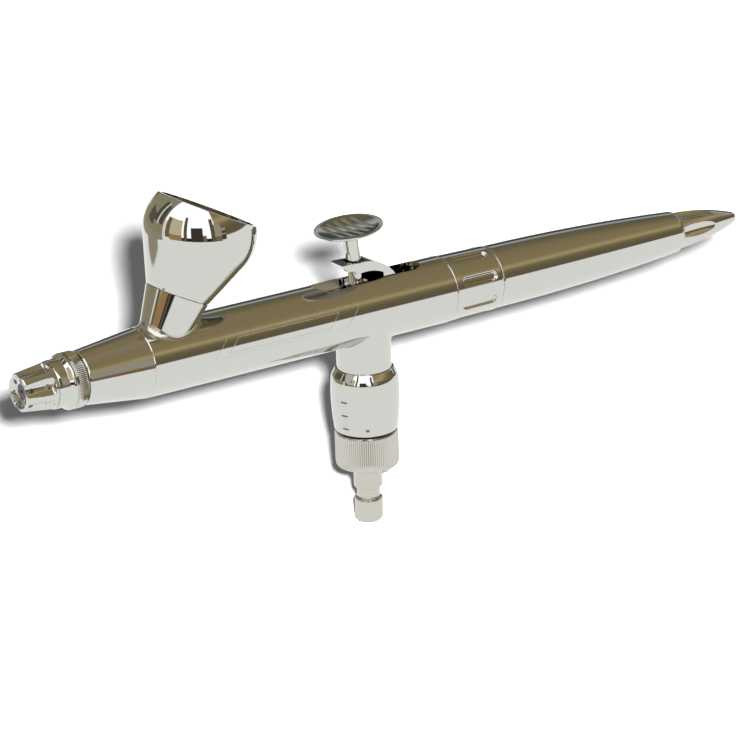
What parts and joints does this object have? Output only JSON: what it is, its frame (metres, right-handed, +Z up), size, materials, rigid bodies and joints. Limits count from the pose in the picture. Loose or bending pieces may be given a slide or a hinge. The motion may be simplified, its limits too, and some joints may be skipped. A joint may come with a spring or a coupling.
{
  "type": "airbrush gun",
  "caption": "Gravity-feed dual-action airbrush gun: tapered chromed barrel, tilted colour cup, finger trigger, regulator ring and hose plug below.",
  "frame": {"origin": "where the barrel's axis crosses the air valve's axis", "axes": "+X runs back along the barrel from the nozzle to the tail, +Z is up towards the trigger's pad, -Z runs down the air valve"},
  "size_m": [0.1515, 0.0192, 0.0673],
  "materials": {
    "chrome": "mirror-polished chrome plating",
    "satin_nickel": "satin nickel plating, straight knurling",
    "steel": "fine-ground stainless steel",
    "spring_steel": "drawn spring wire",
    "brass": "turned brass",
    "rubber": "matt black nitrile",
    "white_seal": "white sealing plastic"
  },
  "bodies": {
    "gun_body": {"crown_cap": "chrome", "air_head": "chrome", "head_seal": "rubber", "nozzle": "steel", "nozzle_seal": "white_seal", "body": "chrome", "cup_neck": "chrome", "needle_packing": "white_seal", "packing_screw": "brass", "lever_pin": "steel", "needle_spring": "spring_steel", "spring_housing": "brass", "grip_sleeve": "chrome", "handle_shell": "chrome", "stem_seal": "white_seal", "valve_seat": "brass", "valve_housing": "chrome", "valve_spring": "spring_steel", "valve_screw": "brass", "throttle_seals": "rubber", "quick_plug": "satin_nickel", "plug_seal": "rubber"},
    "cup": {"colour_cup": "chrome", "cup_seal": "rubber"},
    "air_plunger": {"valve_plunger": "steel", "plunger_seal": "rubber"},
    "trigger": {"finger_trigger": "chrome"},
    "lever": {"rocking_lever": "chrome"},
    "needle_carriage": {"needle": "steel", "chuck_tube": "steel", "chuck_nut": "satin_nickel"},
    "limiter_slide": {"limiter_seal": "rubber"},
    "limiter": {"limiter_screw": "steel", "tail_knob": "chrome"},
    "regulator": {"regulator_ring": "satin_nickel", "throttle_sleeve": "brass"}
  },
  "joints": [
    {"name": "trigger_press", "type": "slide", "parent": "gun_body", "child": "air_plunger", "axis": [0, 0, -1], "range_m": [0, 0.0016], "stiffness_N_per_m": 1500, "springref_m": -0.0012, "deforming": ["valve_spring"]},
    {"name": "trigger_pull", "type": "hinge", "parent": "air_plunger", "child": "trigger", "pos_m": [0, 0, -0.0035], "axis": [0, 1, 0], "range_deg": [0, 20], "stiffness_Nm_per_rad": 0.02, "springref_deg": -34.38},
    {"name": "lever_rock", "type": "hinge", "parent": "gun_body", "child": "lever", "pos_m": [0.00506, 0, -0.0033], "axis": [0, 1, 0], "range_deg": [0, 20]},
    {"name": "needle_draw", "type": "slide", "parent": "gun_body", "child": "needle_carriage", "axis": [1, 0, 0], "range_m": [0, 0.00181], "deforming": ["needle_spring"]},
    {"name": "limiter_advance", "type": "slide", "parent": "gun_body", "child": "limiter_slide", "axis": [1, 0, 0], "range_m": [0, 0.0015]},
    {"name": "limiter_turn", "type": "hinge", "parent": "limiter_slide", "child": "limiter", "pos_m": [0.07, 0, 0], "axis": [1, 0, 0], "range_deg": [0, 720]},
    {"name": "regulator_turn", "type": "hinge", "parent": "gun_body", "child": "regulator", "pos_m": [0, 0, -0.0255], "axis": [0, 0, 1], "range_deg": [0, 300]},
    {"name": "cup_lift", "type": "slide", "parent": "gun_body", "child": "cup", "axis": [0.4478, 0, 0.8942], "range_m": [0, 0.012]}
  ],
  "couplings": [
    {"joint": "lever_rock", "follows": "trigger_pull", "ratio": 1},
    {"joint": "needle_draw", "follows": "trigger_pull", "m_per_rad": 0.005193},
    {"joint": "limiter_turn", "follows": "limiter_advance", "rad_per_m": 8377.6}
  ]
}
